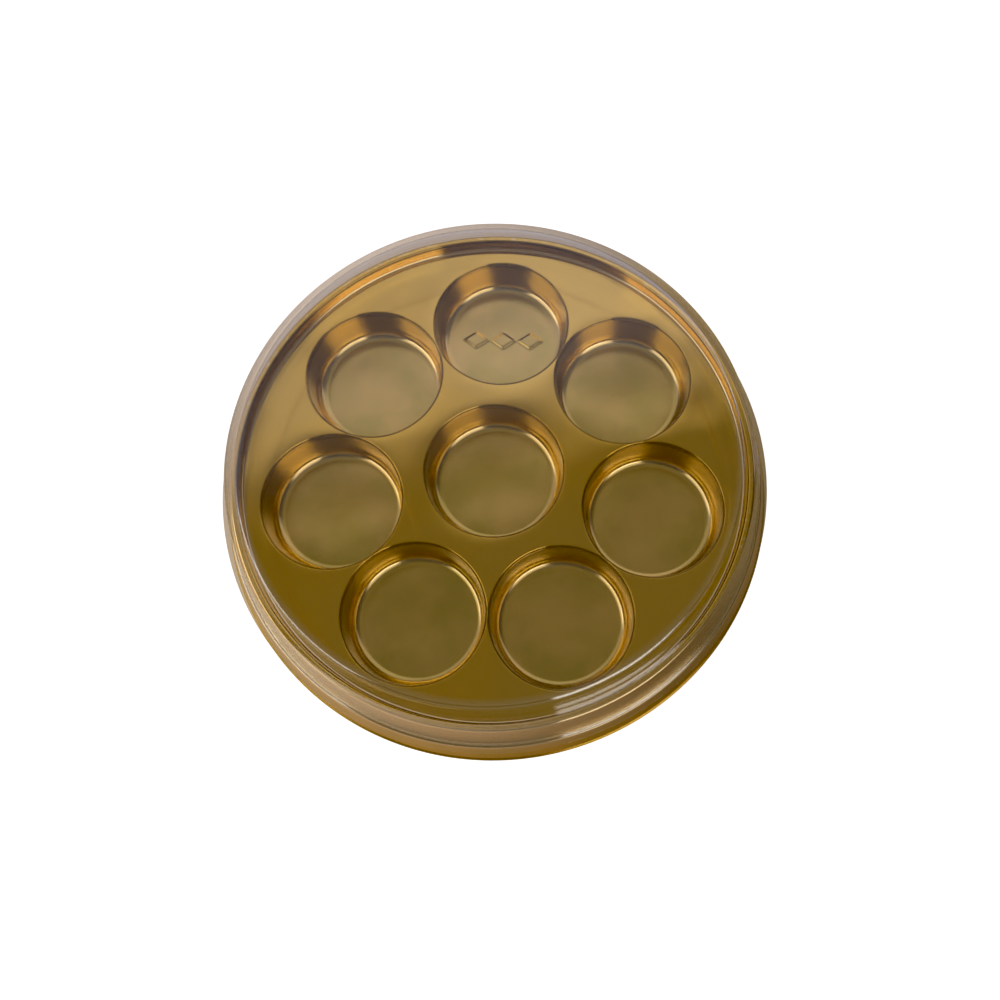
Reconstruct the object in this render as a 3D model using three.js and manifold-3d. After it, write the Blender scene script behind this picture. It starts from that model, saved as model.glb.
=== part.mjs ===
// Round compartment tray with a clear snap-down cover.
//
// Two thin formed sheets:
//   tray  gold sheet: a flat deck with seven round wells in a ring and one in
//         the middle, a raised rim around the deck, a narrow ledge outside the
//         rim for the cover, and a sloping skirt down to a narrow foot flange.
//   lid   clear sheet: a flat top with a chamfered shoulder, a tapered wall, and
//         a flange that sits just above the tray's ledge and overhangs the skirt.
//
// Millimetres, +Z up. The origin is the centre of the underside, on the table.
// One well of the ring is straight ahead on +Y.

import * as THREE from 'three';
import { mergeVertices } from 'three/addons/utils/BufferGeometryUtils.js';
import Module from 'manifold-3d';

// ---------------------------------------------------------------- dimensions

const RING_SEGMENTS = 80; // facets round the tray and the lid
const WELL_SEGMENTS = 36; // facets round each well

// Tray
const TRAY_SHEET = 0.5; // thickness of the gold sheet
const DECK_Z = 22.5; // top of the deck above the table
const DECK_RADIUS = 106.9; // flat part of the deck
const RIM_FOOT_RADIUS = 107.75; // where the rim's inner wall leaves the deck
const RIM_INNER_RADIUS = 108.4; // inner edge of the rim's crown
const RIM_OUTER_RADIUS = 111.2; // outer edge of the rim's crown
const RIM_Z = DECK_Z + 5.8; // top of the rim's crown
const WALL_FOOT_RADIUS = 115.3; // foot of the outer wall, on the ledge
const LEDGE_Z = DECK_Z - 8.2; // top of the ledge
const LEDGE_RADIUS = 117.0; // outer edge of the ledge
const SKIRT_RADIUS = 120.9; // skirt just above the foot flange
const FOOT_RADIUS = 121.6; // outer edge of the foot flange

// Wells
const RING_WELLS = 7; // wells in the ring
const WELL_RING_RADIUS = 70.48; // centre of the tray to the centre of a ring well
const WELL_EDGE_RADIUS = 30.25; // mouth, at the deck
const WELL_THROAT_RADIUS = 29.75; // just under the bevelled edge
const WELL_EDGE_DEPTH = 0.5;
const WELL_DEPTH = 16.5; // deck to floor
const WELL_DRAFT = THREE.MathUtils.degToRad(6.3); // slope of the well's wall
const WELL_FLOOR_FILLET = 3.6; // reach of the rounding along the floor, and its height
const WELL_CUT_REACH = 2; // how far the cavity cutter stands above the deck

const WELL_FLOOR_Z = DECK_Z - WELL_DEPTH;
const WELL_WALL_SLOPE = Math.tan(WELL_DRAFT);
const WELL_FLOOR_RADIUS = WELL_THROAT_RADIUS - WELL_WALL_SLOPE * (WELL_DEPTH - WELL_EDGE_DEPTH);

// Raised ornament on the floor of the well on +Y: three lozenges in a row along X
const LOZENGE_HALF_WIDTH = 5.4; // along X
const LOZENGE_HALF_DEPTH = 3.9; // along Y
const LOZENGE_HEIGHT = 0.7;
const LOZENGE_PITCH = 12.6;
const LOZENGE_TAPER = 0.16; // share of the base size lost at the top
const LOZENGE_SINK = 0.2; // overlap into the floor's sheet
const HOLLOW_INSET = 0.6; // hollow inside the lozenge's outline, at the base
const HOLLOW_CUT_REACH = 1; // how far the hollow's cutter passes below the sheet

// Lid
const LID_SHEET = 0.4; // thickness of the clear sheet
const LID_GAP = 0.2; // air between the lid's flange and the ledge
const LID_TOP_Z = DECK_Z + 23.3; // top face
const LID_TOP_RADIUS = 103.2; // flat part of the top, before rounding
const LID_BREAK_Z = DECK_Z + 20.1; // where the shoulder's slope changes
const LID_BREAK_RADIUS = 106.3;
const LID_SHOULDER_Z = DECK_Z + 17.3; // lower edge of the shoulder
const LID_SHOULDER_RADIUS = 109.5;
const LID_WALL_FOOT_RADIUS = 115.95; // foot of the wall, at the flange
const LID_FLANGE_RADIUS = 119.3;
const LID_FLANGE_Z = LEDGE_Z + LID_GAP + LID_SHEET; // top of the flange

// ------------------------------------------------------------------- profiles

// A profile is a list of [radius, height] points.

// Rounds the corner at `via`: `steps` + 1 points on the quadratic curve from
// `start` to `end`. One step gives a plain chamfer.
function corner(start, via, end, steps) {
	const points = [];
	for (let i = 0; i <= steps; i++) {
		const t = i / steps;
		const u = 1 - t;
		points.push([0, 1].map((k) => u * u * start[k] + 2 * u * t * via[k] + t * t * end[k]));
	}
	return points;
}

// The other face of a sheet: the open profile moved `thickness` to its right
// (to its left if negative), with mitred corners. Its two ends move straight
// along the end normals.
function otherFace(profile, thickness) {
	const normals = profile.slice(1).map(([r, z], i) => {
		const dr = r - profile[i][0];
		const dz = z - profile[i][1];
		const length = Math.hypot(dr, dz);
		return [dz / length, -dr / length];
	});
	return profile.map(([r, z], i) => {
		const before = normals[Math.max(i - 1, 0)];
		const after = normals[Math.min(i, normals.length - 1)];
		const sum = [before[0] + after[0], before[1] + after[1]];
		const scale = (2 * thickness) / (sum[0] * sum[0] + sum[1] * sum[1]);
		return [r + sum[0] * scale, z + sum[1] * scale];
	});
}

// Closed surface of revolution about Z, from a profile that runs axis to axis.
function revolve(profile, segments) {
	const points = profile.map(([r, z]) => new THREE.Vector2(r, z));
	return new THREE.LatheGeometry(points, segments).rotateX(Math.PI / 2);
}

// Round sheet whose top face runs from the outer edge in to the axis. The whole
// profile goes out along the underside and back in along the top.
function roundSheet(topFace, thickness) {
	const underside = otherFace(topFace, -thickness).reverse();
	return toSolid(revolve([...underside, ...topFace], RING_SEGMENTS));
}

// --------------------------------------------------------------------- solids

const wasm = await Module();
wasm.setup();
const { Manifold, Mesh } = wasm;

// three.js geometry to a solid: seams welded, empty triangles at the axis
// dropped, and faces turned outward. Uses up the geometry's attributes.
function toSolid(geometry) {
	geometry.deleteAttribute('normal');
	geometry.deleteAttribute('uv');
	const merged = mergeVertices(geometry, 1e-4);
	const index = merged.index.array;
	const positions = merged.attributes.position.array;
	const corners = [];
	for (let i = 0; i < index.length; i += 3) {
		const [a, b, c] = index.slice(i, i + 3);
		if (a !== b && b !== c && c !== a) corners.push(a, b, c);
	}
	if (signedVolume(positions, corners) < 0) {
		for (let i = 0; i < corners.length; i += 3) {
			[corners[i + 1], corners[i + 2]] = [corners[i + 2], corners[i + 1]];
		}
	}
	return new Manifold(
		new Mesh({ numProp: 3, vertProperties: positions, triVerts: new Uint32Array(corners) }),
	);
}

// Volume inside the triangles: negative if they face inward.
function signedVolume(positions, corners) {
	const at = (i) => new THREE.Vector3().fromArray(positions, 3 * i);
	let total = 0;
	for (let i = 0; i < corners.length; i += 3) {
		total += at(corners[i]).dot(at(corners[i + 1]).cross(at(corners[i + 2])));
	}
	return total / 6;
}

// Solid to a named mesh, with normals averaged at the shared vertices.
function toMesh(name, solid, material) {
	const { vertProperties, triVerts } = solid.getMesh();
	const geometry = new THREE.BufferGeometry();
	geometry.setAttribute('position', new THREE.BufferAttribute(vertProperties, 3));
	geometry.setIndex(Array.from(triVerts));
	geometry.computeVertexNormals();
	const mesh = new THREE.Mesh(geometry, material);
	mesh.name = name;
	return mesh;
}

// ------------------------------------------------------------------ materials

const goldMaterial = () =>
	new THREE.MeshStandardMaterial({ color: 0xb08a3e, metalness: 0.85, roughness: 0.28 });

const clearMaterial = () =>
	new THREE.MeshStandardMaterial({
		color: 0xdcdfe0,
		metalness: 0,
		roughness: 0.06,
		transparent: true,
		opacity: 0.22,
	});

// ----------------------------------------------------------------------- tray

// Top face of the gold sheet, from the edge of the foot flange in to the axis.
// The small offsets place the two ends of each rounded corner.
const trayTop = [
	[FOOT_RADIUS, TRAY_SHEET],
	[SKIRT_RADIUS + 0.15, TRAY_SHEET],
	[SKIRT_RADIUS, TRAY_SHEET + 0.5],
	...corner(
		[LEDGE_RADIUS + 0.18, LEDGE_Z - 0.6],
		[LEDGE_RADIUS, LEDGE_Z],
		[LEDGE_RADIUS - 0.5, LEDGE_Z],
		1,
	),
	...corner(
		[WALL_FOOT_RADIUS + 0.6, LEDGE_Z],
		[WALL_FOOT_RADIUS, LEDGE_Z],
		[WALL_FOOT_RADIUS - 0.17, LEDGE_Z + 0.6],
		1,
	),
	...corner(
		[RIM_OUTER_RADIUS + 0.35, RIM_Z - 1.2],
		[RIM_OUTER_RADIUS, RIM_Z],
		[RIM_OUTER_RADIUS - 1.2, RIM_Z],
		2,
	),
	...corner(
		[RIM_INNER_RADIUS + 0.9, RIM_Z],
		[RIM_INNER_RADIUS, RIM_Z],
		[RIM_INNER_RADIUS - 0.25, RIM_Z - 1.0],
		2,
	),
	...corner(
		[RIM_FOOT_RADIUS + 0.1, DECK_Z + 0.9],
		[RIM_FOOT_RADIUS - 0.1, DECK_Z],
		[DECK_RADIUS, DECK_Z],
		2,
	),
	[0, DECK_Z],
];

// Inside face of a well, from the middle of the floor up to the mouth.
const wellFace = [
	[0, WELL_FLOOR_Z],
	...corner(
		[WELL_FLOOR_RADIUS - WELL_FLOOR_FILLET, WELL_FLOOR_Z],
		[WELL_FLOOR_RADIUS, WELL_FLOOR_Z],
		[
			WELL_FLOOR_RADIUS + WELL_WALL_SLOPE * WELL_FLOOR_FILLET,
			WELL_FLOOR_Z + WELL_FLOOR_FILLET,
		],
		3,
	),
	[WELL_THROAT_RADIUS, DECK_Z - WELL_EDGE_DEPTH],
	[WELL_EDGE_RADIUS, DECK_Z],
];

// Cutter for the inside of a well: from above the deck down to the floor.
function wellCavityProfile() {
	const top = DECK_Z + WELL_CUT_REACH;
	return [...wellFace, [WELL_EDGE_RADIUS, top], [0, top]];
}

// Outside of a well, its wall cut off in the middle of the deck's sheet.
function wellBodyProfile() {
	const outside = otherFace(wellFace.slice(0, -1), TRAY_SHEET);
	const top = DECK_Z - TRAY_SHEET / 2;
	const last = outside.pop();
	const before = outside.at(-1);
	const share = (top - before[1]) / (last[1] - before[1]);
	return [...outside, [before[0] + share * (last[0] - before[0]), top], [0, top]];
}

const wellCentres = [[0, 0]];
for (let k = 0; k < RING_WELLS; k++) {
	const angle = Math.PI / 2 + (2 * Math.PI * k) / RING_WELLS;
	wellCentres.push([WELL_RING_RADIUS * Math.cos(angle), WELL_RING_RADIUS * Math.sin(angle)]);
}

// The same turned shape at every well.
function atWells(profile) {
	return Manifold.union(
		wellCentres.map(([x, y]) => toSolid(revolve(profile, WELL_SEGMENTS).translate(x, y, 0))),
	);
}

// Row of four-sided frustums in the +Y well, lying flat with their points on X
// and Y, from height `low` to height `high`.
function lozengeRow({ inset, low, high }) {
	const row = [-1, 0, 1].map((k) => {
		const geometry = new THREE.CylinderGeometry(1 - LOZENGE_TAPER, 1, high - low, 4, 1);
		geometry.rotateX(Math.PI / 2);
		geometry.scale(LOZENGE_HALF_WIDTH - inset, LOZENGE_HALF_DEPTH - inset, 1);
		geometry.translate(0, 0, (low + high) / 2);
		return toSolid(geometry.translate(k * LOZENGE_PITCH, WELL_RING_RADIUS, 0));
	});
	return Manifold.union(row);
}

function makeTray() {
	const ornament = lozengeRow({
		inset: 0,
		low: WELL_FLOOR_Z - LOZENGE_SINK,
		high: WELL_FLOOR_Z + LOZENGE_HEIGHT,
	});
	const floorUnderside = WELL_FLOOR_Z - TRAY_SHEET;
	const ornamentHollow = lozengeRow({
		inset: HOLLOW_INSET,
		low: floorUnderside - HOLLOW_CUT_REACH,
		high: floorUnderside + LOZENGE_HEIGHT,
	});
	const solid = roundSheet(trayTop, TRAY_SHEET)
		.add(atWells(wellBodyProfile()))
		.subtract(atWells(wellCavityProfile()))
		.add(ornament)
		.subtract(ornamentHollow);
	return toMesh('tray', solid, goldMaterial());
}

// ------------------------------------------------------------------------ lid

// Top face of the clear sheet, from the edge of the flange in to the axis.
const lidTop = [
	[LID_FLANGE_RADIUS, LID_FLANGE_Z],
	...corner(
		[LID_WALL_FOOT_RADIUS + 0.8, LID_FLANGE_Z],
		[LID_WALL_FOOT_RADIUS, LID_FLANGE_Z],
		[LID_WALL_FOOT_RADIUS - 0.2, LID_FLANGE_Z + 0.8],
		2,
	),
	...corner(
		[LID_SHOULDER_RADIUS + 0.2, LID_SHOULDER_Z - 0.75],
		[LID_SHOULDER_RADIUS, LID_SHOULDER_Z],
		[LID_SHOULDER_RADIUS - 0.6, LID_SHOULDER_Z + 0.57],
		2,
	),
	[LID_BREAK_RADIUS, LID_BREAK_Z],
	...corner(
		[LID_TOP_RADIUS + 0.8, LID_TOP_Z - 0.82],
		[LID_TOP_RADIUS, LID_TOP_Z],
		[LID_TOP_RADIUS - 1.1, LID_TOP_Z],
		2,
	),
	[0, LID_TOP_Z],
];

function makeLid() {
	return toMesh('lid', roundSheet(lidTop, LID_SHEET), clearMaterial());
}

// ------------------------------------------------------------------- assembly

const offeringPlate = new THREE.Group();
offeringPlate.name = 'offering_plate';
offeringPlate.add(makeTray(), makeLid());

export default offeringPlate;
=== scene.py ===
# A round gold sheet tray under a clear lid: one well in the middle of the deck and a
# ring of seven round it, the one at +Y with three raised lozenges on its floor.
# The axis is Z, up is +Z, and the foot stands at z = 0. The front is -Y.
# Blender works in metres; sizes here are in mm unless a comment says otherwise.
import math

import bpy
import numpy as np
from mathutils import Matrix, Vector
from mathutils.geometry import delaunay_2d_cdt


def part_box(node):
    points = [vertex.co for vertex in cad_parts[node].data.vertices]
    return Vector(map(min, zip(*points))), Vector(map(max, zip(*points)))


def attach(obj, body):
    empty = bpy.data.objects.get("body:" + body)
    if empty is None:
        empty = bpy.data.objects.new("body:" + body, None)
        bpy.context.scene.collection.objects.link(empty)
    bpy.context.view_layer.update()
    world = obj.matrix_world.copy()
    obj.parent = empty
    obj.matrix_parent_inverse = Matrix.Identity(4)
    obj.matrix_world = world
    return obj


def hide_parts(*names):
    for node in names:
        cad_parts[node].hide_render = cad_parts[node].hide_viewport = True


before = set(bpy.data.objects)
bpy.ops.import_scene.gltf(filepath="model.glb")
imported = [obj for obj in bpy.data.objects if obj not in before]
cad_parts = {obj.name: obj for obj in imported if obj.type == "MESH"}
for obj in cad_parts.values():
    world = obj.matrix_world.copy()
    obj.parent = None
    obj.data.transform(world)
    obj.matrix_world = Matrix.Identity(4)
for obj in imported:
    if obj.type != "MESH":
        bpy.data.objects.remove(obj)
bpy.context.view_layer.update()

MM = 0.001

# ------------------------------------------------------------------ shared sizes
TRAY_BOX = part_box("tray")
LID_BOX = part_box("lid")
FOOT_RADIUS = TRAY_BOX[1].x / MM
LID_RADIUS = LID_BOX[1].x / MM
LID_TOP = LID_BOX[1].z / MM
SHEET = 0.5  # the tray's thickness
LID_SHEET = 0.4
DECK = 22.5  # heights of the sheet's upper face
LEDGE = DECK - 8.2
RIM_TOP = DECK + 5.8
WELL_DEPTH = 16.5
WELL_FLOOR = DECK - WELL_DEPTH
RING_STEPS = 288  # segments round the tray and the lid
WELL_STEPS = 144
LIP_STEPS = 4  # segments across the half-round outer edge of a sheet

RING_WELLS = 7
RING_RADIUS = 70.48
WELLS = [(0.0, 0.0)]
for number in range(RING_WELLS):
    bearing = math.pi / 2 + 2 * math.pi * number / RING_WELLS
    WELLS.append((RING_RADIUS * math.cos(bearing), RING_RADIUS * math.sin(bearing)))


# ---------------------------------------------------------------------- profiles
def rounded(corners):
    """A profile through corners (r, z, radius, steps), each rounded by its radius.
    Returns rows (r, z, normal r, normal z), with the normals up at the start."""
    points = [np.array(corner[:2], float) for corner in corners]

    def left(start, end):
        along = (end - start) / np.linalg.norm(end - start)
        return np.array([-along[1], along[0]])

    rows = [(*points[0], *left(points[0], points[1]))]
    for i in range(1, len(points) - 1):
        before, corner, after = points[i - 1 : i + 2]
        radius, steps = corners[i][2:]
        arm_in = (before - corner) / np.linalg.norm(before - corner)
        arm_out = (after - corner) / np.linalg.norm(after - corner)
        half = math.acos(float(np.clip(arm_in @ arm_out, -1, 1))) / 2
        cut = radius / math.tan(half)
        middle = (arm_in + arm_out) / np.linalg.norm(arm_in + arm_out)
        centre = corner + middle * radius / math.sin(half)
        first, last = left(before, corner), left(corner, after)
        side = 1.0 if (corner + arm_in * cut - centre) @ first > 0 else -1.0
        turn = math.acos(float(np.clip(first @ last, -1, 1)))
        sign = 1.0 if first[0] * last[1] - first[1] * last[0] > 0 else -1.0
        for k in range(steps + 1):
            angle = sign * turn * k / steps
            cos, sin = math.cos(angle), math.sin(angle)
            normal = np.array([first[0] * cos - first[1] * sin, first[0] * sin + first[1] * cos])
            rows.append((*(centre + side * radius * normal), *normal))
    rows.append((*points[-1], *left(points[-2], points[-1])))
    rows = np.array(rows)
    if rows[0, 3] < 0:
        rows[:, 2:] *= -1
    return rows


def resampled(rows, longest):
    """Adds points so that no stretch is longer than longest(r, z) at its middle."""
    out = [rows[0]]
    for a, b in zip(rows[:-1], rows[1:]):
        gap = float(np.hypot(*(b[:2] - a[:2])))
        limit = longest(0.5 * (a[0] + b[0]), 0.5 * (a[1] + b[1]))
        parts = max(1, int(math.ceil(gap / limit)))
        for k in range(1, parts + 1):
            row = a + (b - a) * k / parts
            row[2:] /= np.hypot(*row[2:])
            out.append(row)
    return np.array(out)


# ----------------------------------------------------------------- field helpers
def step(value, low, high):
    """A smooth step from 0 at low to 1 at high; low may be the larger."""
    t = np.clip((value - low) / (high - low), 0, 1)
    return t * t * (3 - 2 * t)


def ridge(value, centre, width):
    """A bell curve of height 1."""
    return np.exp(-(((value - centre) / width) ** 2))


def unit(vectors):
    return vectors / np.linalg.norm(vectors, axis=1)[:, None]


def waves(seed, count, short, long, height):
    """Smooth low unevenness: a sum of sines with lengths from short to long.
    Returns a function of points that gives the height and its gradient."""
    rng = np.random.default_rng(seed)
    direction = unit(rng.normal(size=(count, 3)))
    length = short * (long / short) ** rng.random(count)
    wave = direction * (2 * math.pi / length)[:, None]
    phase = rng.random(count) * 2 * math.pi
    size = height * (length / long) / math.sqrt(count)

    def field(points):
        angle = points @ wave.T + phase
        return np.sin(angle) @ size, (np.cos(angle) * size) @ wave

    return field


def hex_points(radius, pitch, cx=0.0, cy=0.0):
    """A hexagonal grid of points inside a circle."""
    out = []
    rows = int(radius / (pitch * 0.866)) + 2
    for j in range(-rows, rows + 1):
        for i in range(-rows - 2, rows + 3):
            x = (i + 0.5 * (j % 2)) * pitch
            y = j * pitch * 0.866
            if math.hypot(x, y) < radius:
                out.append((cx + x, cy + y))
    return np.array(out)


# ------------------------------------------------------------------ sheet meshes
def quads(rows):
    """Faces that join each closed row of points to the next."""
    faces = []
    for a, b in zip(rows[:-1], rows[1:]):
        for i in range(len(a)):
            j = (i + 1) % len(a)
            faces.append((a[i], a[j], b[j], b[i]))
    return faces


def facing(faces, points, normals):
    """The faces, turned over where they look against their points' normals."""
    out = []
    for face in faces:
        face = np.array(face)
        a, b, c = points[face[:3]]
        flip = np.cross(b - a, c - a) @ normals[face].mean(0) < 0
        out.append(tuple(face[::-1]) if flip else tuple(face))
    return out


def level(flat):
    """No height and no slope."""
    return np.zeros(len(flat)), np.zeros((len(flat), 2))


class Skin:
    """The upper face of a sheet with exact normals, and the under face's points."""

    def __init__(self, thickness):
        self.thickness = thickness
        self.upper, self.upper_normals = [], []
        self.under, self.under_normals = [], []
        self.faces, self.count = [], 0

    def add(self, points, normals, under=None, under_normals=None):
        start = self.count
        self.upper.append(points)
        self.upper_normals.append(normals)
        self.under.append(points - normals * self.thickness if under is None else under)
        self.under_normals.append(-normals if under is None else under_normals)
        self.count += len(points)
        return np.arange(start, self.count)

    def lathe(self, profile, steps, cx=0.0, cy=0.0, under=None):
        """Turns a profile about an upright axis and returns its rows of indices.
        under(i) may give row i's own (r, z, normal r, normal z) for the under face."""
        angle = 2 * math.pi * np.arange(steps) / steps
        cos, sin = np.cos(angle), np.sin(angle)

        def turned(r, z, normal_r, normal_z):
            ring = np.stack([cx + r * cos, cy + r * sin, np.full(steps, z)], 1)
            return ring, np.stack([normal_r * cos, normal_r * sin, np.full(steps, normal_z)], 1)

        rows = []
        for i, row in enumerate(profile):
            below = under(i) if under else None
            rows.append(self.add(*turned(*row), *(turned(*below) if below else ())))
        self.faces += quads(rows)
        return rows

    def disc(self, loops, inner, z, holes=(), lift=level):
        """Triangles inside the first loop and outside the holes (x, y, radius).
        loops are index rows already added, inner are free points, and lift gives
        the free points' height and slope."""
        fixed = np.concatenate(loops)
        points = np.concatenate(self.upper)
        flat = [tuple(v) for v in points[fixed][:, :2]]
        edges, start = [], 0
        for loop in loops:
            size = len(loop)
            edges += [(start + i, start + (i + 1) % size) for i in range(size)]
            start += size
        free = [tuple(v) for v in inner]
        verts, _, faces, sources, _, _ = delaunay_2d_cdt(
            [Vector(v) for v in flat + free], edges, [], 0, 1e-7
        )
        verts = np.array([[v[0], v[1]] for v in verts])
        ids = np.full(len(verts), -1, int)
        for i, source in enumerate(sources):
            known = [s for s in source if s < len(flat)]
            if known:
                ids[i] = fixed[known[0]]
        new = np.flatnonzero(ids < 0)
        height, slope = lift(verts[new])
        normals = unit(np.column_stack([-slope, np.ones(len(new))]))
        ids[new] = self.add(np.column_stack([verts[new], z + height]), normals)
        outer = points[loops[0]][:, :2]
        centre = outer.mean(0)
        reach = np.hypot(*(outer - centre).T).max()
        for face in faces:
            if len(face) != 3:
                continue
            middle = verts[list(face)].mean(0)
            if np.hypot(*(middle - centre)) > reach:
                continue
            if any(np.hypot(middle[0] - x, middle[1] - y) < r * 0.9995 for x, y, r in holes):
                continue
            self.faces.append(tuple(int(ids[i]) for i in face))


def closed_sheet(name, skin, rim, uneven, keep):
    """Makes the sheet's object: both faces, joined round the outer edge by a half-round
    lip. rim is the outermost row; uneven, weighted by keep, moves both faces together."""
    upper, under = np.concatenate(skin.upper), np.concatenate(skin.under)
    normals = unit(np.concatenate(skin.upper_normals))
    under_normals = unit(np.concatenate(skin.under_normals))
    count = len(upper)
    top = facing(skin.faces, upper, normals)
    below = [tuple(v + count for v in reversed(face)) for face in top]

    out = unit(upper[rim] * [1, 1, 0])
    middle = upper[rim] - normals[rim] * skin.thickness / 2
    rows, lip, lip_normals = [rim], [], []
    for k in range(1, LIP_STEPS):
        angle = math.pi * k / LIP_STEPS
        normal = unit(normals[rim] * math.cos(angle) + out * math.sin(angle))
        start = 2 * count + len(rim) * (k - 1)
        lip.append(middle + normal * skin.thickness / 2)
        lip_normals.append(normal)
        rows.append(np.arange(start, start + len(rim)))
    rows.append(rim + count)
    points = np.concatenate([upper, under] + lip)
    all_normals = np.concatenate([normals, under_normals] + lip_normals)
    faces = top + below + facing(quads(rows), points, all_normals)

    # Every point moves along the upper face's normal, and the normals tilt to match.
    across = np.concatenate([normals, -under_normals] + [normals[rim]] * len(lip))
    height, slope = uneven(points)
    weight = keep(points)
    height, slope = height * weight, slope * weight[:, None]
    along = slope - (slope * across).sum(1)[:, None] * across
    moved = points + across * height[:, None]
    side = np.sign((all_normals * across).sum(1) + 1e-9)[:, None]
    tilted = unit(all_normals - along * side)

    mesh = bpy.data.meshes.new(name)
    mesh.from_pydata((moved * MM).tolist(), [], [tuple(int(v) for v in f) for f in faces])
    mesh.validate()
    mesh.update()
    mesh.polygons.foreach_set("use_smooth", [True] * len(mesh.polygons))
    mesh.normals_split_custom_set_from_vertices(tilted.tolist())
    obj = bpy.data.objects.new(name, mesh)
    bpy.context.scene.collection.objects.link(obj)
    return obj


def mesh_points(mesh):
    """The mesh's points in mm, and their distance from the axis."""
    flat = np.zeros(len(mesh.vertices) * 3)
    mesh.vertices.foreach_get("co", flat)
    points = flat.reshape(-1, 3) / MM
    return points, np.hypot(points[:, 0], points[:, 1])


def write_zones(mesh, zones):
    """Stores each named row of values for the materials to read."""
    for name, values in zones.items():
        layer = mesh.attributes.new(name, "FLOAT", "POINT")
        layer.data.foreach_set("value", np.ascontiguousarray(values, dtype=np.float32))


# -------------------------------------------------------------------------- tray
# Columns: r, z, rounding radius, steps in the rounding. From the foot in to the deck.
TRAY_CORNERS = [
    (FOOT_RADIUS - SHEET / 2, SHEET, 0, 0),
    (121.02, SHEET, 0.3, 4),
    (117.0, LEDGE, 0.75, 6),
    (115.35, LEDGE, 0.7, 6),
    (111.35, RIM_TOP, 1.5, 9),
    (108.40, RIM_TOP, 0.95, 9),
    (108.00, DECK + 0.20, 1.15, 10),
    (104.6, DECK + 0.03, 40.0, 4),
    (102.2, DECK, 0, 0),
]

# Fine level ridges on the rim's inner wall.
RIB_LOW, RIB_HIGH = DECK + 1.4, DECK + 5.0
RIB_COUNT = 6
RIB_HEIGHT = 0.030

LIP_RADIUS = 29.72  # foot of the small double edge round a well's mouth
LIP_DEPTH = 0.52
DRAFT = math.radians(6.3)  # lean of a well's wall
WALL_FOOT_RADIUS = LIP_RADIUS - math.tan(DRAFT) * (WELL_DEPTH - LIP_DEPTH)

# Same columns, from the deck down to the floor; r is from the well's own centre.
WELL_CORNERS = [
    (31.6, DECK, 0, 0),
    (30.55, DECK, 0.50, 5),
    (30.30, DECK - 0.42, 0.14, 4),
    (LIP_RADIUS, DECK - LIP_DEPTH, 0.28, 5),
    (WALL_FOOT_RADIUS, WELL_FLOOR, 4.0, 16),
    (22.0, WELL_FLOOR, 0, 0),
]
LIP_ROWS = sum(corner[3] + 1 for corner in WELL_CORNERS[1:4])  # rows of the double edge

# The plain bend that the under face makes below the double edge.
BEND_CORNER = 29.79
BEND_RADIUS = 0.75
BEND_TURN = 80.0  # degrees

# How far each well's floor dishes, in the order of WELLS.
FLOOR_DISH = (0.50, 0.45, 0.62, 0.55, 0.40, 0.36, 0.48, 0.66)

LOZENGE_WELL = 1
LOZENGE_PITCH = 12.6  # along X
LOZENGE_HALF_X, LOZENGE_HALF_Y = 5.4, 3.9
LOZENGE_HEIGHT = 0.7
LOZENGE_SOFT = 0.85  # half the width of the sloping border
LOZENGE_ROUND = 0.004  # rounds off the corners
LOZENGE_GROW = 0.03  # pushes the outline out, as a share of the half sizes
# The fine grid of points that carries the lozenges.
GRID_HALF_X, GRID_HALF_Y, GRID_PITCH, GRID_MARGIN = 20, 5.2, 0.33, 0.6

# The deck is drawn down a little towards each mouth.
MOUTH_EDGE, MOUTH_DROP, MOUTH_REACH = 30.2, 0.11, 2.6


def ribs(rows):
    """Adds the fine ridges to the rim's inner wall."""
    out = rows.copy()
    span = RIB_HIGH - RIB_LOW
    for i, (r, z, normal_r, normal_z) in enumerate(rows):
        if RIB_LOW < z < RIB_HIGH and normal_r < -0.5:
            t = (z - RIB_LOW) / span
            fade = math.sin(math.pi * t) ** 0.5
            angle = 2 * math.pi * RIB_COUNT * t
            normal = np.array([normal_r, normal_z])
            out[i, :2] += normal * RIB_HEIGHT * math.sin(angle) * fade
            tilt = RIB_HEIGHT * fade * math.cos(angle) * 2 * math.pi * RIB_COUNT / span
            normal = normal - np.array([normal_z, -normal_r]) * tilt
            out[i, 2:] = normal / np.hypot(*normal)
    return out


def tray_pitch(r, z):
    """Longest stretch of the profile: fine where the ribs are."""
    on_ribs = 107.6 < r < 109 and DECK + 1.2 < z < DECK + 5.1
    return 0.10 if on_ribs else 2.2


def under_lip(i):
    """Row i of the under face below the double edge; None further down."""
    if i >= LIP_ROWS:
        return None
    angle = math.radians(BEND_TURN) * i / (LIP_ROWS - 1)
    normal_r, normal_z = -math.sin(angle), math.cos(angle)
    centre_r = BEND_CORNER + BEND_RADIUS / math.tan(math.radians((180 - BEND_TURN) / 2))
    centre_z = DECK - BEND_RADIUS
    inner = BEND_RADIUS - SHEET
    return (centre_r + inner * normal_r, centre_z + inner * normal_z, -normal_r, -normal_z)


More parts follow.
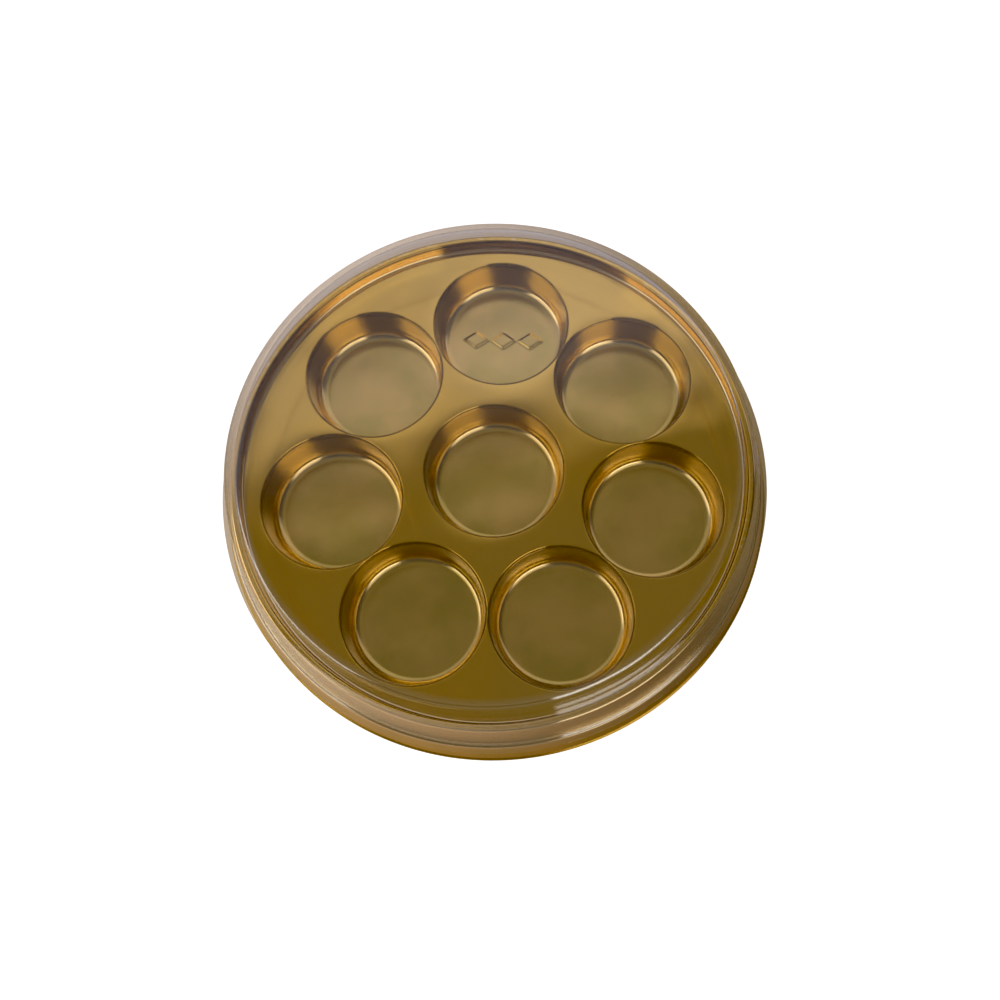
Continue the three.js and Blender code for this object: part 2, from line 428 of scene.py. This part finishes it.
def lozenge_lift(flat):
    """Height and slope of the three raised lozenges about a well's centre."""
    height, slope = level(flat)
    steep = math.hypot(1 / LOZENGE_HALF_X, 1 / LOZENGE_HALF_Y)
    for cx in (-LOZENGE_PITCH, 0.0, LOZENGE_PITCH):
        x, y = flat[:, 0] - cx, flat[:, 1]
        across_x = np.sqrt((x / LOZENGE_HALF_X) ** 2 + LOZENGE_ROUND)
        across_y = np.sqrt((y / LOZENGE_HALF_Y) ** 2 + LOZENGE_ROUND)
        outside = (across_x + across_y - 1 - LOZENGE_GROW) / steep
        t = np.clip((-outside + LOZENGE_SOFT) / (2 * LOZENGE_SOFT), 0, 1)
        height += LOZENGE_HEIGHT * (t * t * (3 - 2 * t))
        fall = -LOZENGE_HEIGHT * (6 * t * (1 - t) / (2 * LOZENGE_SOFT))
        slope[:, 0] += fall * (x / LOZENGE_HALF_X**2 / across_x) / steep
        slope[:, 1] += fall * (y / LOZENGE_HALF_Y**2 / across_y) / steep
    return height, slope


def dish(flat, depth, radius):
    """Height and slope of a very shallow dish."""
    t = np.clip(1 - (flat**2).sum(1) / radius**2, 0, 1)
    return -depth * t * t, (4 * depth * t / radius**2)[:, None] * flat


def add_well(skin, profile, index):
    """Adds one well, wall and floor, and returns the row round its mouth."""
    cx, cy = WELLS[index]
    rows = skin.lathe(profile, WELL_STEPS, cx, cy, under_lip)
    floor_radius = float(profile[-1][0])
    inner = hex_points(floor_radius - 0.9, 1.9, cx, cy)
    if index == LOZENGE_WELL:
        clear_x, clear_y = GRID_HALF_X + GRID_MARGIN, GRID_HALF_Y + GRID_MARGIN
        coarse = [p for p in inner if abs(p[0] - cx) > clear_x or abs(p[1] - cy) > clear_y]
        fine = [
            (cx + x, cy + y)
            for x in np.arange(-GRID_HALF_X, GRID_HALF_X + 0.01, GRID_PITCH)
            for y in np.arange(-GRID_HALF_Y, GRID_HALF_Y + 0.01, GRID_PITCH)
        ]
        inner = np.array(coarse + fine)

    def lift(flat):
        local = flat - [cx, cy]
        height, slope = dish(local, FLOOR_DISH[index], floor_radius)
        if index == LOZENGE_WELL:
            raised, raised_slope = lozenge_lift(local)
            height, slope = height + raised, slope + raised_slope
        return height, slope

    skin.disc([rows[-1]], inner, WELL_FLOOR, lift=lift)
    return rows[0]


tray_broad = waves(seed=7, count=26, short=16, long=90, height=0.28)


def tray_waves(points):
    """Broad unevenness, and the deck drawn down towards each mouth."""
    height, slope = tray_broad(points)
    on_top = step(points[:, 2], DECK - 3.0, DECK - 1.0)
    on_top = on_top * step(np.hypot(points[:, 0], points[:, 1]), 107.0, 104.0)
    for x, y in WELLS:
        offset = points[:, :2] - [x, y]
        r = np.maximum(np.hypot(offset[:, 0], offset[:, 1]), 1e-6)
        out = r - MOUTH_EDGE
        fall = MOUTH_DROP * np.exp(-np.abs(out) / MOUTH_REACH) * on_top
        height = height - fall
        slope[:, :2] += (fall * np.sign(out) / MOUTH_REACH / r)[:, None] * offset
    return height, slope


def tray_keep(points):
    """Full unevenness on the deck and in the wells, little outside, none at the foot."""
    r = np.hypot(points[:, 0], points[:, 1])
    inside = np.clip((112.5 - r) / 5, 0, 1)
    foot = np.clip((points[:, 2] - 0.6) / 6, 0, 1)
    return inside + (1 - inside) * 0.12 * foot


# Tight bends outside the deck where a whiter highlight is painted on. Columns: radius, width, and
# the heights from the deck where the painted highlight starts and is full.
HIGHLIGHT_BENDS = [
    (117.0, 0.6, -9.4, -8.6),
    (115.3, 0.5, -6.8, -7.8),
    (111.2, 0.5, 3.6, 4.8),
    (107.6, 0.5, 1.2, 0.6),
]
FLOOR_BEND = 23.4  # where a well's floor starts to turn up, from the well's centre


def mark_tray(mesh):
    """Where the sheet was stretched in forming, where it hazed, its outer edges, and where
    highlights and shade are painted.
    """
    points, r = mesh_points(mesh)
    z = points[:, 2]
    distances = [np.hypot(points[:, 0] - x, points[:, 1] - y) for x, y in WELLS]
    near = np.min(distances, axis=0)
    back = points[:, 1] - np.array([y for x, y in WELLS])[np.argmin(distances, axis=0)]
    inside = r < 105.5  # the deck and the wells
    above = z - WELL_FLOOR
    on_wall = near > FLOOR_BEND
    behind = 0.2 + 0.8 * step(back, -16.0, 4.0)  # stronger in the back of each well, where the floor bend's highlight falls

    # Stretched: the wells' walls and floors, and the outside below the rim.
    crisp = behind * ridge(above, 0.95, 0.45) * on_wall
    in_wells = step(DECK - z, 0.6, 3.0) * (1 - 0.5 * crisp)
    outside = 0.8 * step(r, 110.6, 112.0) + 0.2 * step(DECK - 8.3 - z, 0, 1.5)
    stretch = np.where(inside, in_wells, outside)

    # Hazed: the wells' floors, and less on the skirt below the ledge.
    flat = inside * (near < FLOOR_BEND) * (above < 2.0)
    at_floor = np.maximum(flat, inside * step(above, 0.6, 0.12) * (near < 27.5))
    haze = at_floor * (0.9 + 0.1 * step(near, 2, 24))
    haze = haze + (~inside) * step(LEDGE - z, 0.6, 2.5) * 0.6

    # A painted highlight along each well's floor bend, stronger at the back of the well.
    painted_bend_highlight = inside * step(above, 0.2, 0.5) * step(above, 1.9, 1.2) * on_wall * 0.5 * behind
    for radius, width, start, full in HIGHLIGHT_BENDS:
        painted_bend_highlight = painted_bend_highlight + ridge(r, radius, width) * step(z, DECK + start, DECK + full)

    # The lip of each mouth, the groove in it where shade is painted, and the crown of the rim.
    lip = inside * ridge(near, 29.9, 0.35) * step(z, DECK - 1.0, DECK - 0.5)
    notch = inside * ridge(near, 30.12, 0.34) * step(DECK - z, 0.12, 0.26)
    crown = ridge(r, 109.9, 1.2) * step(z, DECK + 4.6, DECK + 5.5)

    write_zones(mesh, {
        "painted_bend_highlight": np.clip(painted_bend_highlight, 0, 1),
        # painted shade along the rim's inner top edge
        "crease": ridge(r, 108.35, 0.28) * step(z, DECK + 4.5, DECK + 5.0),
        "milk": inside * step(above, 6.0, 0.5) * 0.85 * on_wall,
        "stretch": stretch,
        "haze": haze,
        # painted shade in the groove of each mouth's lip
        "notch": notch * (z > DECK - 1.0),
        "skirt": (~inside) * step(LEDGE - z, 0.3, 2.0),
        "edge": np.clip(lip + crown, 0, 1),
    })


def build_tray():
    skin = Skin(SHEET)
    profile = ribs(resampled(rounded(TRAY_CORNERS), tray_pitch))
    rows = skin.lathe(profile, RING_STEPS)
    well = rounded(WELL_CORNERS)[1:-1]
    wall = resampled(well[LIP_ROWS - 1 :], lambda r, z: 2.4)
    well = np.concatenate([well[:LIP_ROWS], wall[1:]])
    mouths = [add_well(skin, well, index) for index in range(len(WELLS))]
    mouth_radius = float(well[0][0])
    deck_points = [
        p
        for p in hex_points(float(profile[-1][0]) - 1.2, 3.0)
        if all(math.hypot(p[0] - x, p[1] - y) > mouth_radius + 1.0 for x, y in WELLS)
    ]
    holes = [(x, y, mouth_radius) for x, y in WELLS]
    skin.disc([rows[-1]] + mouths, deck_points, DECK, holes)
    tray = closed_sheet("gold_tray", skin, rows[0], tray_waves, tray_keep)
    mark_tray(tray.data)
    return tray


# --------------------------------------------------------------------------- lid
LID_GAP = 0.2  # between the tray's ledge and the lid's flange
FLANGE = LEDGE + LID_GAP + LID_SHEET

# Columns: r, z, rounding radius, steps. From the flange's edge in to the flat top.
LID_CORNERS = [
    (LID_RADIUS - LID_SHEET / 2, FLANGE, 0, 0),
    (116.0, FLANGE, 1.5, 9),
    (109.55, DECK + 17.3, 0.9, 6),
    (106.3, DECK + 20.1, 14.0, 6),
    (103.15, LID_TOP, 1.9, 9),
    (100.0, LID_TOP, 0, 0),
]

lid_broad = waves(seed=19, count=18, short=40, long=150, height=0.20)
lid_rings = waves(seed=23, count=6, short=2.2, long=7.0, height=0.15)


def lid_waves(points):
    """Broad unevenness, and fine level rings round the shoulder and the wall. The top
    is sunk a little to stay inside the design's height."""
    height, slope = lid_broad(points)
    z = points[:, 2]
    r = np.hypot(points[:, 0], points[:, 1])
    along = np.column_stack([r - z, np.zeros(len(points)), np.zeros(len(points))])
    rings, ring_slope = lid_rings(along)
    outer = step(r, 101.5, 104.0)
    slide = ring_slope[:, 0] * outer
    safe = np.maximum(r, 1e-6)
    ring_slope = np.column_stack([slide * points[:, 0] / safe, slide * points[:, 1] / safe, -slide])
    sunk = 0.24 * step(z, LID_TOP - 3.0, LID_TOP - 0.6)
    return height + rings * outer - sunk, slope + ring_slope


def lid_keep(points):
    """No unevenness at the flange, where the lid sits on the ledge."""
    return np.clip((points[:, 2] - FLANGE - 0.5) / 10, 0, 1) * 0.6


def mark_lid(mesh):
    """The tight bends, where the clear sheet shines more."""
    points, r = mesh_points(mesh)
    z = points[:, 2]
    top = ridge(r, 103.0, 0.9) * step(z, LID_TOP - 2.4, LID_TOP - 1.0)
    foot = ridge(r, 115.9, 0.9) * step(z, FLANGE + 2.4, FLANGE + 1.0)
    write_zones(mesh, {"bend": np.clip(top + foot, 0, 1)})


def build_lid():
    skin = Skin(LID_SHEET)
    profile = resampled(rounded(LID_CORNERS), lambda r, z: 0.7 if r > 102 else 3.0)
    rows = skin.lathe(profile, RING_STEPS)
    skin.disc([rows[-1]], hex_points(98.5, 5.0), LID_TOP)
    lid = closed_sheet("clear_lid", skin, rows[0], lid_waves, lid_keep)
    mark_lid(lid.data)
    return lid


# ------------------------------------------------------------------ node helpers
class Nodes:
    """Short ways to add nodes; values may be numbers, colours or sockets."""

    def __init__(self, tree):
        tree.nodes.clear()
        self.tree = tree

    def add(self, kind, inputs=None, **settings):
        node = self.tree.nodes.new(kind)
        for name, value in settings.items():
            setattr(node, name, value)
        for name, value in (inputs or {}).items():
            socket = node.inputs[name]
            if isinstance(value, bpy.types.NodeSocket):
                self.tree.links.new(value, socket)
            else:
                socket.default_value = value
        return node

    def out(self, kind, output=0, inputs=None, **settings):
        return self.add(kind, inputs, **settings).outputs[output]

    def math(self, operation, *values):
        return self.out("ShaderNodeMath", 0, dict(enumerate(values)), operation=operation)

    def plus(self, a, b):
        return self.math("ADD", a, b)

    def minus(self, a, b):
        return self.math("SUBTRACT", a, b)

    def times(self, a, b):
        return self.math("MULTIPLY", a, b)

    def clip(self, value, low, high):
        """Held below high, then above low."""
        return self.math("MAXIMUM", self.math("MINIMUM", value, high), low)

    def length(self, x, y):
        return self.math("SQRT", self.plus(self.times(x, x), self.times(y, y)))

    def smooth(self, value, low, high, start=0.0, end=1.0):
        """A smooth step from start at low to end at high."""
        inputs = dict(enumerate((value, low, high, start, end)))
        settings = {"interpolation_type": "SMOOTHSTEP", "clamp": True}
        return self.out("ShaderNodeMapRange", 0, inputs, **settings)

    def mix(self, factor, a, b):
        inputs = {0: factor, 6: a, 7: b}
        return self.out("ShaderNodeMix", 2, inputs, data_type="RGBA", clamp_factor=True)

    def noise(self, place, scale, detail=2.0, rough=0.5):
        inputs = {"Vector": place, "Scale": scale, "Detail": detail, "Roughness": rough}
        return self.out("ShaderNodeTexNoise", 0, inputs)

    def zone(self, name):
        return self.out("ShaderNodeAttribute", "Fac", attribute_name=name)

    def place(self, space="Object"):
        return self.out("ShaderNodeTexCoord", space)

    def split(self, vector):
        return self.add("ShaderNodeSeparateXYZ", {0: vector}).outputs

    def both(self, a, b):
        return self.out("ShaderNodeAddShader", 0, {0: a, 1: b})


def new_material(name):
    material = bpy.data.materials.new(name)
    material.use_nodes = True
    return material, Nodes(material.node_tree)


# --------------------------------------------------------------------- materials
GOLD_A = (0.69, 0.425, 0.075, 1)
GOLD_B = (0.65, 0.415, 0.090, 1)
HAZE_A = (0.54, 0.395, 0.105, 1)
HAZE_B = (0.69, 0.465, 0.150, 1)
WORN = (0.80, 0.66, 0.42, 1)  # specks along the edges
# painted whiter highlight for the tight bends
BEND_HIGHLIGHT_TINT = (0.64, 0.53, 0.38, 1)
# painted shade for the mouths' grooves and the rim's inner top edge
GROOVE_SHADE = (0.09, 0.042, 0.008, 1)
REFLECTION_TINT = (0.78, 0.70, 0.40, 1)  # painted paler tint that the gold shows only in reflections

GOLD_ROUGH = 0.075
STRETCH_ROUGH = 0.155  # added where the sheet was stretched
CLOUD_ROUGH = 0.04  # swing of the cloudy unevenness
CLOUD_CALMED = 0.02  # taken off that swing by stretching
DRAWN_ROUGH, GRAIN_ROUGH, WORN_ROUGH = 0.08, 0.02, 0.05
WRAP = 0.12  # radius in metres of the cylinder that carries the draw marks
DOWN_SQUEEZE = 0.10  # stretches the draw marks down the skirt


def draw_marks(k, place, skirt):
    """Fine streaks down the skirt, about zero."""
    x, y, z = k.split(place)
    radius = k.math("MAXIMUM", k.length(x, y), 0.001)
    wrapped = k.out("ShaderNodeCombineXYZ", 0, {
        0: k.times(k.math("DIVIDE", x, radius), WRAP),
        1: k.times(k.math("DIVIDE", y, radius), WRAP),
        2: k.times(z, DOWN_SQUEEZE),
    })
    streaks = k.noise(wrapped, scale=420.0, detail=3.0, rough=0.6)
    return k.times(k.minus(streaks, 0.5), skirt)


def gold_material():
    """Lacquered metallised sheet: a gold mirror, hazed and paler where stretched, with painted
    highlights, painted shade and a painted reflection tint.
    """
    material, k = new_material("gold_sheet_look")
    place = k.place()
    haze, stretch, edge = k.zone("haze"), k.zone("stretch"), k.zone("edge")
    notch, skirt, painted_bend_highlight = k.zone("notch"), k.zone("skirt"), k.zone("painted_bend_highlight")
    crease, milk = k.zone("crease"), k.zone("milk")
    # Reflection rays see the gold with a painted paler tint.
    seen_in_reflection = k.out("ShaderNodeLightPath", "Is Glossy Ray")
    cloud = k.noise(place, scale=42.0, detail=4.0, rough=0.55)
    grain = k.noise(place, scale=1100.0, detail=3.0, rough=0.6)
    soft = k.noise(place, scale=14.0)
    speck = k.noise(place, scale=520.0)
    drawn = draw_marks(k, place, skirt)
    worn = k.times(edge, k.smooth(speck, low=0.52, high=0.72, end=0.6))

    lacquer = k.mix(k.smooth(soft, low=0.35, high=0.65), GOLD_A, GOLD_B)
    # Where the painted shade goes: the mouths' grooves and the rim's inner top edge.
    milky = k.mix(k.smooth(cloud, low=0.30, high=0.70), HAZE_A, HAZE_B)
    groove_shade = k.math("MAXIMUM", notch, crease)
    colour = lacquer
    # Layers in turn: milky where stretched, haze, worn specks, painted highlight in the bends,
    # painted shade in the grooves, and a painted paler tint where the gold is seen in a reflection.
    for share, layer in (
        (k.times(stretch, 0.3), milky),
        (k.math("MAXIMUM", haze, milk), milky),
        (worn, WORN),
        (k.times(painted_bend_highlight, 0.75), BEND_HIGHLIGHT_TINT),
        (k.times(groove_shade, 0.9), GROOVE_SHADE),
        (k.times(seen_in_reflection, 0.5), REFLECTION_TINT),
    ):
        colour = k.mix(share, colour, layer)

    uneven = k.minus(CLOUD_ROUGH, k.times(stretch, CLOUD_CALMED))
    rough = GOLD_ROUGH
    for part in (
        k.times(stretch, STRETCH_ROUGH),
        k.times(drawn, DRAWN_ROUGH),
        k.times(k.minus(cloud, 0.5), uneven),
        k.times(k.minus(grain, 0.5), GRAIN_ROUGH),
        k.times(worn, WORN_ROUGH),
    ):
        rough = k.plus(rough, part)

    bump = k.out("ShaderNodeBump", 0, {
        "Strength": k.plus(0.05, k.times(haze, 0.15)),
        "Distance": 0.00004,
        "Height": k.plus(grain, k.times(drawn, 2.0)),
    })
    shader = k.out("ShaderNodeBsdfPrincipled", 0, {
        "Base Color": colour,
        "Metallic": 1.0,
        "Roughness": k.clip(rough, low=0.03, high=0.255),
        "Normal": bump,
    })
    k.add("ShaderNodeOutputMaterial", {0: shader})
    return material


SQUARE_ON_SHINE = 0.040  # share reflected when seen square on; the rest is edge on
BEND_SHINE = 0.10  # added in the tight bends
TINT_SQUARE_ON = (0.995, 0.995, 0.990, 1)
TINT_EDGE_ON = (0.90, 0.885, 0.875, 1)


def clear_material():
    """Clear sheet: seen straight through, with a mirror shine that grows edge on."""
    material, k = new_material("clear_sheet_look")
    place = k.place()
    away = k.out("ShaderNodeLayerWeight", "Facing", {0: 0.5})  # 0 square on, 1 edge on
    shine = k.times(0.96, k.math("POWER", away, 5.0))
    shine = k.plus(SQUARE_ON_SHINE, shine)
    shine = k.math("MINIMUM", k.plus(shine, k.times(k.zone("bend"), BEND_SHINE)), 1.0)
    drift = k.noise(place, scale=11.0)
    smear = k.noise(place, scale=60.0, detail=4.0, rough=0.6)
    tint = k.mix(k.math("POWER", away, 2.0), TINT_SQUARE_ON, TINT_EDGE_ON)
    through = k.out("ShaderNodeBsdfTransparent", 0, {0: tint})
    rough = k.plus(0.03, k.times(drift, 0.04))
    rough = k.plus(rough, k.smooth(smear, low=0.55, high=0.75, end=0.05))
    bump = k.out("ShaderNodeBump", 0, {"Strength": 0.12, "Distance": 0.0003, "Height": smear})
    inputs = {"Color": (1, 1, 1, 1), "Roughness": rough, "Normal": bump}
    mirror = k.out("ShaderNodeBsdfGlossy", 0, inputs)
    k.add("ShaderNodeOutputMaterial", {
        0: k.out("ShaderNodeMixShader", 0, {0: shine, 1: through, 2: mirror})
    })
    return material


def dress(obj, material, part):
    """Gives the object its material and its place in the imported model."""
    obj.data.materials.clear()
    obj.data.materials.append(material)
    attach(obj, part)
    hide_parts(part)


# ------------------------------------------------------------------------- stage
FLOOR_HALF, FLOOR_Z = 6.0, -0.0002  # metres
PAPER = (0.86, 0.86, 0.86, 1)  # the paper as the camera sees it directly
PAPER_GLOW = (0.8, 0.8, 0.8, 1)
PAPER_INDIRECT = (0.10, 0.09, 0.085, 1)
TABLE = (0.54, 0.45, 0.39, 1)  # what the sheet and the lid mirror from below
TABLE_NEAR_BOUNCE = (0.61, 0.465, 0.31, 1)  # the same in front, with painted warm bounce light from the gold skirt
TABLE_RIGHT_SHADE = (0.55, 0.39, 0.18, 1)  # and on the right, darker with painted shade


def paper_material():
    """Bright paper to the camera; to reflections a dim warm table that glows, with painted contact
    shadow, painted bounce light and painted shade. Places in metres.
    """
    material, k = new_material("stage_paper")
    path = k.add("ShaderNodeLightPath").outputs
    unveiled = k.math("LESS_THAN", path["Transparent Depth"], 0.5)
    direct = k.times(path["Is Camera Ray"], unveiled)
    paper = k.out("ShaderNodeBsdfDiffuse", 0, {0: k.mix(direct, PAPER_INDIRECT, PAPER)})
    x, y, _ = k.split(k.out("ShaderNodeNewGeometry", "Position"))
    # Painted warm bounce light in front of the tray.
    skirt_bounce = k.smooth(y, low=-0.06, high=0.04, start=1.0, end=0.0)
    # Painted shade on the right of the table.
    right = k.smooth(x, low=0.05, high=0.115)
    table = k.mix(right, k.mix(skirt_bounce, TABLE, TABLE_NEAR_BOUNCE), TABLE_RIGHT_SHADE)
    # The table's glow carries a painted contact shadow close to the tray and a painted light fall
    # from left to right.
    contact_shadow = k.smooth(k.length(x, y), low=0.119, high=0.150, start=0.55)
    across = k.math("MAXIMUM", k.math("DIVIDE", x, 0.13), -1.0)
    across = k.math("MINIMUM", across, 1.0)
    fall = k.smooth(y, low=-0.10, high=-0.03, start=0.78, end=0.42)
    table_level = k.times(contact_shadow, k.minus(1.0, k.times(across, fall)))
    glow = k.out("ShaderNodeEmission", 0, {
        "Color": k.mix(direct, table, PAPER_GLOW),
        "Strength": k.plus(direct, k.times(k.minus(1.0, direct), table_level)),
    })
    k.add("ShaderNodeOutputMaterial", {0: k.both(paper, glow)})
    return material


def build_stage():
    mesh = bpy.data.meshes.new("stage_floor")
    corners = [(-1, -1), (1, -1), (1, 1), (-1, 1)]
    points = [(x * FLOOR_HALF, y * FLOOR_HALF, FLOOR_Z) for x, y in corners]
    mesh.from_pydata(points, [], [(0, 1, 2, 3)])
    floor = bpy.data.objects.new("stage_floor", mesh)
    bpy.context.scene.collection.objects.link(floor)
    mesh.materials.append(paper_material())


# ------------------------------------------------------------------------- light
ROOM_COLOUR = (1.0, 0.975, 0.95, 1)
WALL_COLOUR = (1.0, 1.025, 1.40, 1)
BOX_COLOUR = (1.0, 0.94, 0.87, 1)
ROOM_LEVEL = 0.115
WALL_LEVEL = 0.54
BACKDROP_LEVEL = 1.1  # what the camera sees


def build_world():
    """A dim room with a bright wall behind, and a large soft light on each side in
    front. Azimuth is in degrees from -Y towards +X."""
    world = bpy.data.worlds.new("studio")
    bpy.context.scene.world = world
    world.use_nodes = True
    k = Nodes(world.node_tree)
    x, y, z = k.split(k.place("Generated"))
    azimuth = k.times(k.math("ARCTAN2", x, k.times(y, -1.0)), 180 / math.pi)
    elevation = k.times(k.math("ARCSINE", k.clip(z, low=-1.0, high=1.0)), 180 / math.pi)

    # The wall is a band across the back, slanted a little and brighter to the right.
    up = k.math("MAXIMUM", z, 0.05)
    slant = k.times(0.29, k.math("DIVIDE", x, up))
    tilt = k.minus(k.math("DIVIDE", y, up), slant)
    wall_top = k.smooth(tilt, low=0.36, high=0.58)
    wall_foot = k.smooth(tilt, low=1.5, high=2.5, start=1.0, end=0.0)
    wall = k.times(wall_top, wall_foot)
    wall = k.times(wall, k.smooth(x, low=-0.20, high=-0.04, start=0.83, end=1.12))

    def fade_in(value, edge, soft):
        return k.smooth(value, edge - soft, edge + soft)

    def fade_out(value, edge, soft):
        return k.smooth(value, edge - soft, edge + soft, start=1.0, end=0.0)

    def soft_box(sides, foot, dims_from, low_level, high_level):
        """A light between its sides, from its foot up to about 53 degrees."""
        rise = fade_in(elevation, edge=foot, soft=3.0)
        span = k.times(rise, fade_out(elevation, edge=53.0, soft=9.0))
        level = k.smooth(elevation, dims_from, 36.0, start=low_level, end=high_level)
        return k.times(k.times(sides, span), level)

    # The right light widens with height.
    right_edge = k.math("MINIMUM", k.plus(45.0, k.times(elevation, 0.6)), 66.0)
    right_far = fade_out(k.minus(azimuth, right_edge), edge=0.0, soft=4.0)
    right_sides = k.times(fade_in(azimuth, edge=17.3, soft=1.2), right_far)
    left_near = fade_out(azimuth, edge=-44.5, soft=1.2)
    left_sides = k.times(fade_in(azimuth, edge=-100.0, soft=6.0), left_near)
    right_box = soft_box(right_sides, foot=6.0, dims_from=22.0, low_level=2.8, high_level=1.1)
    left_box = soft_box(left_sides, foot=20.0, dims_from=24.0, low_level=2.5, high_level=1.2)

    # The room is brighter low in front, and overhead.
    ahead = k.smooth(y, low=-0.3, high=0.1, start=1.0, end=0.0)
    low_front = k.times(ahead, k.smooth(elevation, low=4.0, high=26.0, start=0.22, end=0.0))
    room = k.plus(ROOM_LEVEL, low_front)
    room = k.plus(room, k.smooth(elevation, low=48.0, high=70.0, end=0.16))
    seen = k.out("ShaderNodeLightPath", "Is Camera Ray")

    def background(level, colour):
        return k.out("ShaderNodeBackground", 0, {"Color": colour, "Strength": level})

    def lit(level, colour):
        """Light that the camera doesn't see."""
        return background(k.times(level, k.minus(1.0, seen)), colour)

    whole = k.both(lit(room, ROOM_COLOUR), lit(k.times(wall, WALL_LEVEL), WALL_COLOUR))
    whole = k.both(whole, lit(k.plus(right_box, left_box), BOX_COLOUR))
    backdrop = background(k.times(seen, BACKDROP_LEVEL), (1, 1, 1, 1))
    k.add("ShaderNodeOutputWorld", {0: k.both(whole, backdrop)})


# ------------------------------------------------------------------------ camera
CAMERA_SLOPE = math.radians(75.161)  # its back axis, measured from -Y up
CAMERA_ROLL = 0.0043366  # radians
CAMERA_TURN = math.radians(90 - 88.806)  # about Z
CAMERA_DISTANCE = 370.014
CAMERA_TARGET = (29.102, -37.068, 0.0)  # before the turn, from the deck's centre


def build_camera():
    data = bpy.data.cameras.new("camera")
    data.sensor_width = 36.0
    data.lens = 31.68
    data.shift_x = -0.0611
    data.shift_y = 0.0530
    data.clip_start = 0.01
    camera = bpy.data.objects.new("camera", data)
    bpy.context.scene.collection.objects.link(camera)
    level_right = Vector((1, 0, 0))
    level_up = Vector((0, math.sin(CAMERA_SLOPE), math.cos(CAMERA_SLOPE)))
    back = Vector((0, -math.cos(CAMERA_SLOPE), math.sin(CAMERA_SLOPE)))
    cos, sin = math.cos(CAMERA_ROLL), math.sin(CAMERA_ROLL)
    right = cos * level_right + sin * level_up
    up = -sin * level_right + cos * level_up
    place = Vector(CAMERA_TARGET) * MM + CAMERA_DISTANCE * MM * back
    place.z += DECK * MM
    matrix = Matrix([*zip(right, up, back, place), (0, 0, 0, 1)])
    camera.matrix_world = Matrix.Rotation(CAMERA_TURN, 4, "Z") @ matrix
    bpy.context.scene.camera = camera


def set_view():
    """Standard colours with slightly deeper blacks."""
    view = bpy.context.scene.view_settings
    view.view_transform = "Standard"
    view.use_curve_mapping = True
    view.curve_mapping.black_level = (0.030, 0.0305, 0.0325)
    view.curve_mapping.update()


gold_tray = build_tray()
clear_lid = build_lid()
dress(gold_tray, gold_material(), part="tray")
dress(clear_lid, clear_material(), part="lid")
build_stage()
build_world()
build_camera()
set_view()
